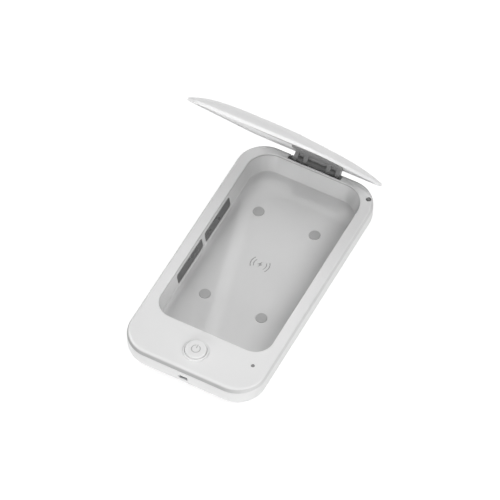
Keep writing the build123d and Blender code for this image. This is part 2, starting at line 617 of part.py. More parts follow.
# ================================================================ electronics under the tray and deck
def charging_coil():
    top = TRAY_UNDER
    return rod(0, CHARGE_Y, top - COIL_T, top, COIL_R) - rod(0, CHARGE_Y, top - COIL_T - OVER, top + OVER, COIL_BORE_R)


def ferrite_shield():
    top = TRAY_UNDER - COIL_T
    return rod(0, CHARGE_Y, top - FERRITE_T, top, FERRITE_R)


def charger_board():
    board = standing(CHARGER_BOARD, 0, CHARGER_Y, CHARGER_Z)
    return board + standing(CHARGER_CHIP, 0, CHARGER_Y, CHARGER_Z - CHARGER_CHIP[2] + TINY)


BOARD_FRONT = FRONT + WALL + BOARD_CLEAR
BOARD_REAR = CAVITY_FRONT - FLANGE_OUT - BOARD_TO_TRAY
BOARD_LEFT = -BOARD_POST_X - BOARD_EDGE
BOARD_RIGHT = LIGHT_POS[0] + BOARD_SIDE_CLEAR


def control_board():
    """Board behind the front wall; one corner is cut off to clear the casing's rounded corner."""
    plan = make_face(Polyline((BOARD_LEFT, BOARD_FRONT), (BOARD_RIGHT - BOARD_CUT, BOARD_FRONT),
                              (BOARD_RIGHT, BOARD_FRONT + BOARD_CUT), (BOARD_RIGHT, BOARD_REAR),
                              (BOARD_LEFT, BOARD_REAR), close=True))
    board = slab(plan, BOARD_Z, BOARD_TOP)
    board = board + standing(DRIVER_CHIP, DRIVER_AT[0], FRONT + DRIVER_AT[1], BOARD_TOP - TINY)
    radius, height = CAPACITOR
    board = board + rod(CAPACITOR_AT[0], FRONT + CAPACITOR_AT[1], BOARD_TOP - TINY, BOARD_TOP + height, radius)
    for x, y in FRONT_POSTS:
        board = board - rod(x, y, BOARD_Z - OVER, BOARD_TOP + OVER, POST_R + BOARD_POST_CLEAR)
    for x, y in BOARD_POSTS:
        board = board - rod(x, y, BOARD_Z - OVER, BOARD_TOP + OVER, SCREW_R + SCREW_HOLE_CLEAR)
    return board


def usb_socket():
    """Folded sheet socket with its contact tongue."""
    width, depth, height = USB

    def bar(inset, y_low, y_high):
        face = Plane.XZ * RectangleRounded(width - 2 * inset, height - 2 * inset, USB_R - inset / 2)
        return Pos(0, y_high, USB_Z) * extrude(face, y_high - y_low, dir=(0, -1, 0))

    socket = bar(0, USB_FACE, USB_FACE + depth) - bar(USB_LIP, USB_FACE - OVER, USB_FACE + depth - USB_BACK)
    half, thickness = USB_TONGUE[0] / 2, USB_TONGUE[1]
    tongue = block((-half, half), (USB_FACE + USB_TONGUE_BACK, USB_FACE + depth - USB_BACK / 2),
                   (USB_Z - thickness / 2, USB_Z + thickness / 2))
    return socket + tongue


TACT_TOP = BOARD_TOP + TACT[2]
STEM_END = TACT_TOP + BUTTON_TRAVEL + STOP_CLEAR
TACT_BORE_Z = BOARD_TOP + TACT_FLOOR


def tact_switch():
    body = standing(TACT, 0, BUTTON_Y, BOARD_TOP)
    return body - rod(0, BUTTON_Y, TACT_BORE_Z, TACT_TOP + OVER, TACT_PLUNGER_R + PLUNGER_FIT)


def switch_plunger():
    low = TACT_BORE_Z + BUTTON_TRAVEL + STROKE_ROOM
    return rod(0, BUTTON_Y, low, STEM_END, TACT_PLUNGER_R)


def power_symbol(top):
    """Broken ring with an upright bar, open towards the hinge."""
    ring = Circle(POWER_RING_R + SYMBOL_LINE / 2) - Circle(POWER_RING_R - SYMBOL_LINE / 2)
    gap = Pos(0, POWER_RING_R) * Rectangle(POWER_GAP, 3 * SYMBOL_LINE)
    bar = Pos(0, POWER_RING_R + SYMBOL_LINE - POWER_BAR / 2) * SlotOverall(POWER_BAR, SYMBOL_LINE, rotation=90)
    return [Pos(0, BUTTON_Y, top - SYMBOL_DEPTH) * extrude(face, SYMBOL_DEPTH + OVER) for face in (ring - gap, bar)]


BEZEL_BOTTOM = DECK_UNDER - BEZEL_BELOW
FLANGE_TOP = BEZEL_BOTTOM - STOP_CLEAR


def power_button():
    top = DECK + BUTTON_PROUD
    low = FLANGE_TOP - BUTTON_FLANGE_T
    cap = rod(0, BUTTON_Y, low, top, BUTTON_R)
    cap = fillet(cap.edges().group_by(Axis.Z)[-1], BUTTON_EDGE_R)
    cap = cap + rod(0, BUTTON_Y, low, FLANGE_TOP, BUTTON_FLANGE_R)
    cap = cap - rod(0, BUTTON_Y, low - OVER, top - BUTTON_SKIN, BUTTON_R - BUTTON_SKIN)
    cap = cap + rod(0, BUTTON_Y, STEM_END, top - BUTTON_SKIN + TINY, TACT_PLUNGER_R + STEM_WALL)
    for cut in power_symbol(top):
        cap = cap - cut
    return cap


def button_bezel():
    collar = rod(0, BUTTON_Y, DECK, DECK + BEZEL_PROUD, BEZEL_R)
    collar = fillet(collar.edges().group_by(Axis.Z)[-1], BEZEL_EDGE_R)
    spigot = rod(0, BUTTON_Y, BEZEL_BOTTOM, DECK + TINY, BEZEL_SPIGOT_R)
    return collar + spigot - rod(0, BUTTON_Y, BEZEL_BOTTOM - OVER, DECK + BEZEL_PROUD + OVER, BEZEL_BORE_R)


LED_BASE_TOP = BOARD_TOP + STATUS_LED[2]
LED_TOP = LED_BASE_TOP + STATUS_DOME[1]


def status_led():
    return standing(STATUS_LED, *LIGHT_POS, BOARD_TOP) + rod(*LIGHT_POS, LED_BASE_TOP - TINY, LED_TOP, STATUS_DOME[0])


def light_pipe():
    pipe = rod(*LIGHT_POS, LED_TOP + LIGHT_GAP, DECK - LIGHT_SUNK, LIGHT_R)
    return pipe + rod(*LIGHT_POS, DECK_UNDER - LIGHT_COLLAR_T, DECK_UNDER, LIGHT_R + LIGHT_COLLAR)


def lid_switch_body():
    """Small push switch in the rear right corner, square to the corner's curve."""
    x, y = LID_SWITCH_POS
    low, high = LID_SWITCH_Z, LID_SWITCH_TOP
    turn = degrees(atan2(y - REAR + CORNER_R, x - BODY_W / 2 + CORNER_R))
    body = Pos(x, y, (low + high) / 2) * Rot(0, 0, turn) * Pos(-LID_SWITCH_INWARD, 0, 0) * Box(*LID_SWITCH_BODY)
    return body - rod(x, y, low + LID_SWITCH_BORE_FLOOR, high + OVER, PLUNGER_R + PLUNGER_FIT)


def lid_switch_plunger():
    """Rounded pin that stands a little proud of the deck."""
    low = LID_SWITCH_Z + LID_SWITCH_BORE_FLOOR + PLUNGER_TRAVEL + STROKE_ROOM
    pin = rod(*LID_SWITCH_POS, low, DECK + PLUNGER_PROUD, PLUNGER_R)
    return fillet(pin.edges().group_by(Axis.Z)[-1], PLUNGER_EDGE_R)


# ================================================================ feet and screws
def rubber_feet():
    feet = []
    for x, y in FRONT_POSTS + REAR_POSTS:
        foot = rod(x, y, 0, SHELL_BOTTOM + FOOT_SEAT, FOOT_R)
        feet.append(fillet(foot.edges().group_by(Axis.Z)[0], FOOT_EDGE_R))
    return group(feet)


def cover_screws():
    return group([screw(x, y, FRONT_SEAT, FRONT_SCREW_L) for x, y in FRONT_POSTS])


def tray_screws():
    return group([screw(x, y, REAR_SEAT, REAR_SCREW_L) for x, y in REAR_POSTS])


def board_screws():
    return group([screw(x, y, BOARD_TOP, BOARD_SCREW_L, up=-1) for x, y in BOARD_POSTS])


def hinge_screws():
    return group([screw(x, y, HINGE_PLATE_TOP, BOARD_SCREW_L, up=-1) for x, y in HINGE_POSTS])


# ================================================================ hinge
def both_sides(span):
    """The (low, high) X spans of a right-hand piece and its left-hand twin."""
    return (span, (-span[1], -span[0]))


def round_the_pin(radius, angle):
    """Point (y, z) at a radius from the pin, at degrees above the rearward direction."""
    return HINGE_Y + radius * cos(radians(angle)), HINGE_Z + radius * sin(radians(angle))


def hinge_base():
    """Floor plate of the hinge pocket with two cheeks and two knuckles for the pin."""
    plate_rear = REAR - WALL - LIP_CLEAR
    plate_front = CAVITY_REAR - HINGE_PLATE_LAP
    base = block((-CHEEK[1], CHEEK[1]), (plate_front, plate_rear), (HINGE_PLATE_Z, HINGE_PLATE_TOP))
    foot_shape = [round_the_pin(KNUCKLE_R - TINY, 215), (NOTCH_FRONT + FOOT_SPREAD[0], HINGE_PLATE_TOP - TINY),
                  (NOTCH_FRONT + FOOT_SPREAD[1], HINGE_PLATE_TOP - TINY), round_the_pin(KNUCKLE_R - TINY, -125)]
    for span in both_sides(KNUCKLE) + both_sides(CHEEK):
        base = base + side_profile(foot_shape, *span) + cross_rod(*span, HINGE_Y, HINGE_Z, KNUCKLE_R)
    base = base - cross_rod(-NOTCH_X, NOTCH_X, HINGE_Y, HINGE_Z, PIN_R)
    for x, y in HINGE_POSTS:
        base = base - rod(x, y, HINGE_PLATE_Z - OVER, HINGE_PLATE_TOP + OVER, SCREW_R + SCREW_HOLE_CLEAR)
    return base


def hinge_pin():
    pin = cross_rod(-CHEEK[1] - PIN_END, CHEEK[1] + PIN_END, HINGE_Y, HINGE_Z, PIN_R)
    return chamfer(pin.edges().filter_by(GeomType.CIRCLE), PIN_END)


def friction_washers():
    """Spring washers in the gaps between knuckles and lid lugs; they hold the lid where it is put."""
    washers = []
    for gap in ((LUG_INNER[1], KNUCKLE[0]), (KNUCKLE[1], LUG_OUTER[0])):
        middle = (gap[0] + gap[1]) / 2
        for low, high in both_sides((middle - WASHER_T / 2, middle + WASHER_T / 2)):
            ring = cross_rod(low, high, HINGE_Y, HINGE_Z, WASHER_R)
            washers.append(ring - cross_rod(low - OVER, high + OVER, HINGE_Y, HINGE_Z, PIN_R + WASHER_FIT))
    return group(washers)


# ================================================================ lid, drawn closed
def crown_section(share, skin):
    """Plan of the dome where it has shrunk to a share of its rim; it grows rounder on the way up."""
    middle = LID_MID + (LID_APEX - LID_HALF_L) * (1 - share)
    half_w = (LID_W / 2 - skin) * share
    half_l = (LID_HALF_L - skin) * share
    rim_round = (LID_R - skin) / (LID_W / 2 - skin)
    radius = half_w * (rim_round + (LID_APEX_ROUND - rim_round) * (1 - share))
    return outline(half_w, middle - half_l, middle + half_l, radius, radius)


def crown(skin, base, rise):
    """Solid between the rim's lower edge and the dome."""
    sections = [Pos(0, 0, base + rise * (1 - share ** LID_CROWN_POWER)) * crown_section(share, skin)
                for share in CROWN_SHARES]
    return slab(crown_section(1.0, skin), LID_BOTTOM, base) + loft(sections)


def dome_under(y):
    """Height of the dome's inner surface over the lid's middle line, towards the hinge."""
    apex = LID_APEX - LID_HALF_L
    share = (y - LID_MID - apex) / (LID_HALF_L - LID_SKIN - apex)
    base = LID_EDGE_TOP - LID_SKIN + LID_SHOULDER
    return base + (LID_CROWN - LID_SHOULDER) * (1 - share ** LID_CROWN_POWER)


BRACKET_PAD_TOP = dome_under(HINGE_Y - BRACKET_SCREW_AT[1]) - BRACKET_BOSS_H
BRACKET_SEAT = BRACKET_PAD_TOP - BRACKET_T


def lid_shell():
    outer = crown(0, LID_EDGE_TOP, LID_CROWN)
    rim_edge = [edge for edge in outer.edges() if abs(edge.center().Z - LID_EDGE_TOP) < TINY]
    outer = fillet(rim_edge, LID_EDGE_R)
    outer = fillet(outer.edges().group_by(Axis.Z)[0], LID_UNDER_R)
    hollow = crown(LID_SKIN, LID_EDGE_TOP - LID_SKIN + LID_SHOULDER, LID_CROWN - LID_SHOULDER)
    shell = outer - hollow - slab(crown_section(1.0, LID_SKIN), LID_BOTTOM - OVER, LID_BOTTOM + TINY)
    top = LID_EDGE_TOP + LID_CROWN
    for x, y in LINER_POSTS:
        shell = shell + (rod(x, y, LINER_TOP, top, BOSS_R) & outer)
    for x, y in BRACKET_SCREWS:
        shell = shell + (rod(x, y, BRACKET_PAD_TOP, top, BOSS_R) & outer)
    peg = rod(*LID_SWITCH_POS, DECK + PLUNGER_PROUD + STOP_CLEAR, LID_EDGE_TOP, PEG_R)
    shell = shell + peg
    for x, y in BRACKET_SCREWS:
        shell = shell - rod(x, y, BRACKET_SEAT - OVER, BRACKET_SEAT + BRACKET_SCREW_L + BRACKET_SCREW_ROOM, SCREW_R)
    return shell


def lid_liner():
    """Reflective panel under the dome."""
    return slab(crown_section(LINER_SHARE, LID_SKIN + LINER_CLEAR), LINER_Z, LINER_TOP)


def under_dome(y, depth):
    """Point (y, z) at a depth below the dome's inner surface."""
    return y, dome_under(y) - depth


def in_plate(y):
    return under_dome(y, BRACKET_GAP + BRACKET_T / 2)


def lid_hinge_bracket():
    """Plate that follows the dome, with two pairs of lugs that reach down to the pin."""
    step = (BRACKET_REAR - BRACKET_FRONT) / BRACKET_STEPS
    places = [BRACKET_FRONT + index * step for index in range(BRACKET_STEPS + 1)]
    upper = [under_dome(y, BRACKET_GAP) for y in places]
    lower = [under_dome(y, BRACKET_GAP + BRACKET_T) for y in reversed(places)]
    bracket = side_profile(upper + lower, -BRACKET_HALF_X, BRACKET_HALF_X)
    lug_front = NOTCH_FRONT + STOP_CLEAR + LIP_CLEAR
    shape = [in_plate(HINGE_Y - LUG_AHEAD), in_plate(BRACKET_REAR), (HINGE_Y + LUG_R, HINGE_Z),
             round_the_pin(LUG_R - TINY, -110), (lug_front, HINGE_Z - LUG_TOE), (lug_front, LID_BOTTOM)]
    for span in both_sides(LUG_INNER) + both_sides(LUG_OUTER):
        bracket = bracket + side_profile(shape, *span) + cross_rod(*span, HINGE_Y, HINGE_Z, LUG_R)
    bracket = bracket + hinge_web()
    for x, y in BRACKET_SCREWS:
        bracket = bracket + rod(x, y, BRACKET_SEAT, BRACKET_PAD_TOP, BRACKET_PAD_R)
        bracket = bracket - rod(x, y, BRACKET_PAD_TOP, LID_EDGE_TOP + LID_CROWN, BOSS_R + BRACKET_GAP)
        bracket = bracket - rod(x, y, BRACKET_SEAT - OVER, BRACKET_PAD_TOP + OVER, SCREW_R + SCREW_HOLE_CLEAR)
        bracket = bracket - flat_head(x, y, BRACKET_SEAT, SCREW_HOLE_CLEAR)
    return bracket - cross_rod(-CHEEK[1], CHEEK[1], HINGE_Y, HINGE_Z, PIN_R + PIN_FIT)


def hinge_web():
    """Plate that runs down from the lid and curls round in front of the pin, from the left lugs to the right."""
    half_x = LUG_OUTER[1]
    inner, outer = WEB_R
    low, high = WEB_SPAN
    ring = cross_rod(-half_x, half_x, HINGE_Y, HINGE_Z, outer)
    ring = ring - cross_rod(-NOTCH_X, NOTCH_X, HINGE_Y, HINGE_Z, inner)
    wedge = [(HINGE_Y, HINGE_Z)] + [round_the_pin(2 * outer, low + (high - low) * step / 3) for step in range(4)]
    curl = ring & side_profile(wedge, -half_x, half_x)
    meet = low + WEB_OVERLAP
    rise = [round_the_pin(inner, low), round_the_pin(inner, meet), round_the_pin(outer, meet),
            in_plate(BRACKET_REAR - (outer - inner)), in_plate(BRACKET_REAR)]
    return curl + side_profile(rise, -half_x, half_x)


def bracket_screws():
    return group([flat_screw(x, y, BRACKET_SEAT, BRACKET_SCREW_L) for x, y in BRACKET_SCREWS])


# ================================================================ assembly
ROOT = {
    "base_shell": base_shell(),
    "deck_cover": deck_cover(),
    "cavity_tray": cavity_tray(),
    "phone_pads": phone_pads(),
    "uv_window_right": uv_window(),
    "uv_window_left": mirrored(uv_window()),
    "uv_board_right": uv_board(),
    "uv_board_left": mirrored(uv_board()),
    "uv_leds_right": uv_leds(),
    "uv_leds_left": mirrored(uv_leds()),
    "charging_coil": charging_coil(),
    "ferrite_shield": ferrite_shield(),
    "charger_board": charger_board(),
    "control_board": control_board(),
    "usb_socket": usb_socket(),
    "tact_switch": tact_switch(),
    "button_bezel": button_bezel(),
    "status_led": status_led(),
    "light_pipe": light_pipe(),
    "lid_switch_body": lid_switch_body(),
    "rubber_feet": rubber_feet(),
    "cover_screws": cover_screws(),
    "tray_screws": tray_screws(),
    "board_screws": board_screws(),
    "hinge_base": hinge_base(),
    "hinge_screws": hinge_screws(),
    "hinge_pin": hinge_pin(),
    "friction_washers": friction_washers(),
    "switch_plunger": switch_plunger(),
    "power_button": power_button(),
    "lid_switch_plunger": lid_switch_plunger(),
}
LID = {
    "lid_shell": lid_shell(),
    "lid_liner": lid_liner(),
    "lid_hinge_bracket": lid_hinge_bracket(),
    "bracket_screws": bracket_screws(),
}

hinge_axis = Axis((0, HINGE_Y, HINGE_Z), (-1, 0, 0))
pieces = dict(ROOT)
for name, piece in LID.items():
    pieces[name] = piece.rotate(hinge_axis, LID_OPEN)

box = Compound(children=[Compound(children=list(piece.solids())) for piece in pieces.values()]).bounding_box()
shift = -(box.min.Y + box.max.Y) / 2
for name, piece in pieces.items():
    export_step(Pos(0, shift, 0) * piece, "parts/" + name + ".step")

print("origin shift", round(shift, 4), "hinge axis y z", round(HINGE_Y + shift, 4), HINGE_Z)
print("box", [round(v, 3) for v in (*box.min, *box.max)])
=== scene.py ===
"""Looks of the UV sanitizer box: finishes for every moulded, metal and electronic piece, and a white studio."""

import math

import bpy
from bpy.props import FloatProperty, FloatVectorProperty, PointerProperty, StringProperty
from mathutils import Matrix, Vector


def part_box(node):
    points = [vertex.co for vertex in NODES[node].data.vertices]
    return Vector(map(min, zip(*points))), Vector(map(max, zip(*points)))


bl_info = {
    "name": "UV Sanitizer Box",
    "version": (1, 0, 0),
    "blender": (4, 0, 0),
    "location": "3D View > Sidebar > Sanitizer",
    "description": "Finishes and studio for a UV sanitizer box for phones",
    "category": "Object",
}

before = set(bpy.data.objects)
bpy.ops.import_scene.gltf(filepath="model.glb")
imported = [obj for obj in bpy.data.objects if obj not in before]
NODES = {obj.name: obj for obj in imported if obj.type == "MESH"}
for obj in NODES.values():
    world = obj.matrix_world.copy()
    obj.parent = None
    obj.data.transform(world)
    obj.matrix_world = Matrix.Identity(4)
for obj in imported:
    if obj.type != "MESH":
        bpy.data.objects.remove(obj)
MM = 0.001

# Heights and widths on the pieces, in metres
PAD_PROUD = 0.4 * MM                      # the pads' tops above the tray's floor
MARK_DEPTH = 0.1 * MM                     # a face that lies deeper than this is the floor of a symbol
DECK_SHADE_BAND = (1.4 * MM, 0.25 * MM)         # painted shade on the deck's rounded edge, down from the deck's top
SHADE_WEAK_SIDE = (28.75 * MM, 0.75 * MM)      # where that painted shade weakens, in from the deck's right edge
TRAY_FADE = (7.0 * MM, 2.0 * MM)          # where the tray's mirror fades out, down from the deck's top

# Surface detail, in millimetres
MOTTLE_MM = 35.0
POLISH_MM = 9.0
GRAIN_MM = 0.25
GRAIN_DEPTH_MM = 0.004
EDGE_REACH_MM = 0.35

# Shares of a colour or a roughness
NOISE_BAND = (0.3, 0.7)                   # most of a noise pattern lies between these values
FAINT = 0.012                             # mottling of an even moulded colour
GLOSS_SWING = 0.12
EDGE_LIFT = 1.06
WHITE = (1.0, 1.0, 1.0, 1.0)

MIDDLE = Vector((0.0, 0.0, 0.0))          # of the open box's footprint, where every lamp looks


# ---------------------------------------------------------------- helpers
def rgb(code, share=1.0):
    """Linear colour from an sRGB hex code, or a share of it."""
    parts = [int(code[i:i + 2], 16) / 255 for i in (0, 2, 4)]
    linear = [c / 12.92 if c <= 0.04045 else ((c + 0.055) / 1.055) ** 2.4 for c in parts]
    return [c * share for c in linear] + [1.0]


def lighter(code, share):
    """The colour made lighter, but never lighter than white."""
    return [min(1.0, c) for c in rgb(code, share)]


def per_mm(size):
    """Texture scale at which one feature is this many millimetres wide."""
    return 1 / (size * MM)


def add(tree, kind, inputs=None, stops=(), **settings):
    """Adds a node. An input is a value, or a node whose first output feeds it, or (node, output).
    Stops are a colour ramp's two (position, colour) pairs, where a plain number is a grey."""
    node = tree.nodes.new(kind)
    for name, value in settings.items():
        setattr(node, name, value)
    for name, value in (inputs or {}).items():
        if isinstance(value, bpy.types.Node):
            value = (value, 0)
        if isinstance(value, tuple) and isinstance(value[0], bpy.types.Node):
            tree.links.new(value[0].outputs[value[1]], node.inputs[name])
        else:
            node.inputs[name].default_value = value
    for index, (position, colour) in enumerate(stops):
        mark = node.color_ramp.elements[index]
        mark.position = position
        mark.color = colour if hasattr(colour, "__len__") else (colour, colour, colour, 1.0)
    return node


def new_material(name):
    material = bpy.data.materials.new(name)
    material.use_nodes = True
    tree = material.node_tree
    tree.nodes.clear()
    place = add(tree, "ShaderNodeTexCoord")
    return material, tree, (place, "Object")


def finished(material, tree, shader):
    add(tree, "ShaderNodeOutputMaterial", {"Surface": shader})
    return material


def patches(where, size_mm, detail, rough=0.5):
    """Inputs of a noise texture whose patches are this wide."""
    return {"Vector": where, "Scale": per_mm(size_mm), "Detail": detail, "Roughness": rough}


def between(low, high):
    """Ramp stops that spread two values over a noise pattern."""
    return list(zip(NOISE_BAND, (low, high)))


def tones(code, spread):
    """Ramp stops for a colour that is a little darker and lighter from place to place."""
    return between(rgb(code, 1 - spread), lighter(code, 1 + spread))


def mottled(tree, where, code, spread=FAINT):
    """Faint flow mottling of a moulded piece."""
    mottle = add(tree, "ShaderNodeTexNoise", patches(where, MOTTLE_MM, 4.0))
    return add(tree, "ShaderNodeValToRGB", {"Fac": mottle}, stops=tones(code, spread))


def patchy_gloss(tree, where, rough):
    """A roughness that changes a little from patch to patch."""
    polish = add(tree, "ShaderNodeTexNoise", patches(where, POLISH_MM, 3.0))
    stops = between(rough * (1 - GLOSS_SWING), min(1.0, rough * (1 + GLOSS_SWING)))
    return add(tree, "ShaderNodeValToRGB", {"Fac": polish}, stops=stops)


def grained(tree, where, size_mm=GRAIN_MM, depth_mm=GRAIN_DEPTH_MM):
    """The fine grain that a sparked mould leaves."""
    grain = add(tree, "ShaderNodeTexNoise", patches(where, size_mm, 2.0))
    return add(tree, "ShaderNodeBump", {"Height": grain, "Distance": depth_mm * MM})


def upward(tree):
    """How far a face looks up: 1 on a level face, 0 on an upright one."""
    flat = add(tree, "ShaderNodeNewGeometry")
    return add(tree, "ShaderNodeSeparateXYZ", {"Vector": (flat, "True Normal")}), "Z"


def outer_edges(tree):
    """1 along outside edges, 0 on flats."""
    soft = add(tree, "ShaderNodeBevel", {"Radius": EDGE_REACH_MM * MM})
    flat = add(tree, "ShaderNodeNewGeometry")
    turn = add(tree, "ShaderNodeVectorMath", {0: soft, 1: (flat, "Normal")}, operation="DOT_PRODUCT")
    return add(tree, "ShaderNodeMapRange", {"Value": (turn, "Value"), "From Min": 0.99, "From Max": 0.9})


def symbol_floors(tree, where, below):
    """1 on level faces under a height: the floors of engraved symbols."""
    split = add(tree, "ShaderNodeSeparateXYZ", {"Vector": where})
    deep = add(tree, "ShaderNodeMath", {0: (split, "Z"), 1: below}, operation="LESS_THAN")
    level = add(tree, "ShaderNodeMath", {0: upward(tree), 1: 0.97}, operation="GREATER_THAN")
    return add(tree, "ShaderNodeMath", {0: deep, 1: level}, operation="MULTIPLY")


# ---------------------------------------------------------------- finishes
# In a colour Mix node, input 6 is the colour below, 7 the colour laid over it, and output 2 the result.
def moulded(name, code, rough, grain_mm=GRAIN_MM, grain_depth=GRAIN_DEPTH_MM, spread=FAINT, sheen=0.0,
            mark_z=None):
    """Injection-moulded plastic or rubber: even colour with faint mottling, fine mould grain, gloss that
    varies a little, edges a shade lighter, and engraved symbols a shade darker."""
    material, tree, where = new_material(name)
    tone = add(tree, "ShaderNodeMix", {
        "Factor": outer_edges(tree), 6: mottled(tree, where, code, spread), 7: lighter(code, EDGE_LIFT)},
        data_type="RGBA")
    if mark_z is not None:
        tone = add(tree, "ShaderNodeMix", {
            "Factor": symbol_floors(tree, where, mark_z), 6: (tone, 2), 7: rgb(code, 0.6)}, data_type="RGBA")
    return finished(material, tree, add(tree, "ShaderNodeBsdfPrincipled", {
        "Base Color": (tone, 2), "Roughness": patchy_gloss(tree, where, rough),
        "Specular IOR Level": 0.5, "Sheen Weight": sheen,
        "Normal": grained(tree, where, grain_mm, grain_depth)}))


def metal(name, code, rough, streak=(1.0, 1.0, 1.0), streak_mm=0.3):
    """Plated or drawn steel: drawing marks stretched along one axis, and faint stains."""
    material, tree, where = new_material(name)
    stretched = add(tree, "ShaderNodeMapping", {"Vector": where, "Scale": streak})
    marks = add(tree, "ShaderNodeTexNoise", patches(stretched, streak_mm, 2.0))
    stain = add(tree, "ShaderNodeTexNoise", patches(where, 4.0, 4.0))
    return finished(material, tree, add(tree, "ShaderNodeBsdfPrincipled", {
        "Base Color": add(tree, "ShaderNodeValToRGB", {"Fac": stain}, stops=tones(code, 0.06)),
        "Metallic": 1.0,
        "Roughness": add(tree, "ShaderNodeValToRGB", {"Fac": marks}, stops=between(rough * 0.8, rough * 1.2)),
        "Normal": add(tree, "ShaderNodeBump", {"Height": marks, "Distance": 0.003 * MM})}))


def board(name, code):
    """Glass-epoxy board under solder mask, with copper tracks showing as raised paler lines."""
    material, tree, where = new_material(name)
    tracks = add(tree, "ShaderNodeTexBrick", {
        "Vector": where, "Scale": per_mm(1.0), "Mortar Size": 0.12, "Brick Width": 4.2, "Row Height": 0.9})
    weave = add(tree, "ShaderNodeTexNoise", patches(where, 0.5, 2.0))
    mask = add(tree, "ShaderNodeMix", {
        "Factor": (tracks, "Fac"), 6: rgb(code), 7: rgb(code, 1.6)}, data_type="RGBA")
    return finished(material, tree, add(tree, "ShaderNodeBsdfPrincipled", {
        "Base Color": (mask, 2),
        "Roughness": add(tree, "ShaderNodeValToRGB", {"Fac": weave}, stops=between(0.28, 0.4)),
        "Normal": add(tree, "ShaderNodeBump", {"Height": (tracks, "Fac"), "Distance": 0.03 * MM})}))


def winding(name, code, centre):
    """Enamelled copper wire wound flat: the turns show as fine rings about the coil's axis."""
    material, tree, where = new_material(name)
    centred = add(tree, "ShaderNodeMapping", {"Vector": where, "Location": [-c for c in centre]})
    rings = add(tree, "ShaderNodeTexWave", {"Vector": centred, "Scale": per_mm(0.9) / 20}, wave_type="RINGS",
                rings_direction="Z", wave_profile="SIN")
    turns = add(tree, "ShaderNodeValToRGB", {"Fac": rings}, stops=[(0.0, rgb(code, 0.25)), (0.5, rgb(code))])
    return finished(material, tree, add(tree, "ShaderNodeBsdfPrincipled", {
        "Base Color": turns, "Metallic": 0.8, "Roughness": 0.3, "Coat Weight": 0.6,
        "Normal": add(tree, "ShaderNodeBump", {"Height": rings, "Distance": 0.25 * MM})}))


def smoked_pane(name, code, rough):
    """Tinted lamp window, so dark that the lamps behind it barely show."""
    material, tree, where = new_material(name)
    haze = add(tree, "ShaderNodeTexNoise", patches(where, 12.0, 3.0))
    return finished(material, tree, add(tree, "ShaderNodeBsdfPrincipled", {
        "Base Color": add(tree, "ShaderNodeValToRGB", {"Fac": haze}, stops=tones(code, 0.08)),
        "Transmission Weight": 0.08,
        "Roughness": add(tree, "ShaderNodeValToRGB", {"Fac": haze}, stops=between(rough * 0.8, rough * 1.3)),
        "Normal": add(tree, "ShaderNodeBump", {"Height": haze, "Distance": 0.01 * MM})}))


def led_package(name, code, dome_code):
    """Ceramic LED body with a tinted cap, which shows as fine two-colour speckle at this size."""
    material, tree, where = new_material(name)
    speck = add(tree, "ShaderNodeTexNoise", patches(where, 0.6, 3.0))
    return finished(material, tree, add(tree, "ShaderNodeBsdfPrincipled", {
        "Base Color": add(tree, "ShaderNodeValToRGB", {"Fac": speck},
                          stops=[(0.42, rgb(code)), (0.62, rgb(dome_code))]),
        "Roughness": add(tree, "ShaderNodeValToRGB", {"Fac": speck}, stops=between(0.25, 0.5)),
        "Coat Weight": 0.3,
        "Normal": add(tree, "ShaderNodeBump", {"Height": speck, "Distance": 0.01 * MM})}))


def cover_plastic(name, code, rough, shade_share):
    """The casing's white plastic, with painted shade down the deck's rounded edge, weaker on the right.
    The band is matched to the reference by eye: whether it is the finish or only light isn't known."""
    material, tree, where = new_material(name)
    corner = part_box("deck_cover")[1]
    # Painted shade: darker down the deck's rounded edge, less of it towards the deck's right edge.
    split = add(tree, "ShaderNodeSeparateXYZ", {"Vector": where})
    height = add(tree, "ShaderNodeMapRange", {
        "Value": (split, "Z"), "From Min": corner.z - DECK_SHADE_BAND[0], "From Max": corner.z - DECK_SHADE_BAND[1]},
        interpolation_type="SMOOTHSTEP")
    right = add(tree, "ShaderNodeMapRange", {
        "Value": (split, "X"), "From Min": corner.x - SHADE_WEAK_SIDE[0], "From Max": corner.x - SHADE_WEAK_SIDE[1],
        "To Min": 0.0, "To Max": 0.7}, interpolation_type="SMOOTHSTEP")
    unshaded = add(tree, "ShaderNodeMath", {0: height, 1: right}, operation="MAXIMUM")
    tone = add(tree, "ShaderNodeMix", {
        "Factor": unshaded, 6: rgb(code, shade_share), 7: mottled(tree, where, code)}, data_type="RGBA")
    return finished(material, tree, add(tree, "ShaderNodeBsdfPrincipled", {
        "Base Color": (tone, 2), "Roughness": patchy_gloss(tree, where, rough),
        "Normal": grained(tree, where)}))


def reflector(name, code, rough, bright, mark_z, rim_z):
    """Polished tray with a faint metallic mirror on its floor that fades out up the walls, and a grey print
    in the charging symbol. The share of metal is matched to the reference and isn't known."""
    material, tree, where = new_material(name)
    split = add(tree, "ShaderNodeSeparateXYZ", {"Vector": where})
    height = add(tree, "ShaderNodeMapRange", {
        "Value": (split, "Z"), "From Min": rim_z - TRAY_FADE[0], "From Max": rim_z - TRAY_FADE[1],
        "To Min": bright, "To Max": 0.0}, interpolation_type="SMOOTHSTEP")
    floor = add(tree, "ShaderNodeMapRange", {
        "Value": upward(tree), "From Min": 0.4, "From Max": 0.95, "To Min": 0.1, "To Max": 1.0})
    marked = add(tree, "ShaderNodeMix", {
        "Factor": symbol_floors(tree, where, mark_z), 6: mottled(tree, where, code), 7: rgb(code, 0.5)},
        data_type="RGBA")
    tone = add(tree, "ShaderNodeMix", {
        "Factor": outer_edges(tree), 6: (marked, 2), 7: lighter(code, EDGE_LIFT)}, data_type="RGBA")
    return finished(material, tree, add(tree, "ShaderNodeBsdfPrincipled", {
        "Base Color": (tone, 2),
        "Metallic": add(tree, "ShaderNodeMath", {0: height, 1: floor}, operation="MULTIPLY"),
        "Roughness": patchy_gloss(tree, where, rough)}))


def dress(material, *names):
    """Gives a finish to CAD nodes through their own material slots."""
    for name in names:
        node = NODES[name]
        if not node.material_slots:
            node.data.materials.append(material)
        for place in node.material_slots:
            place.material = material


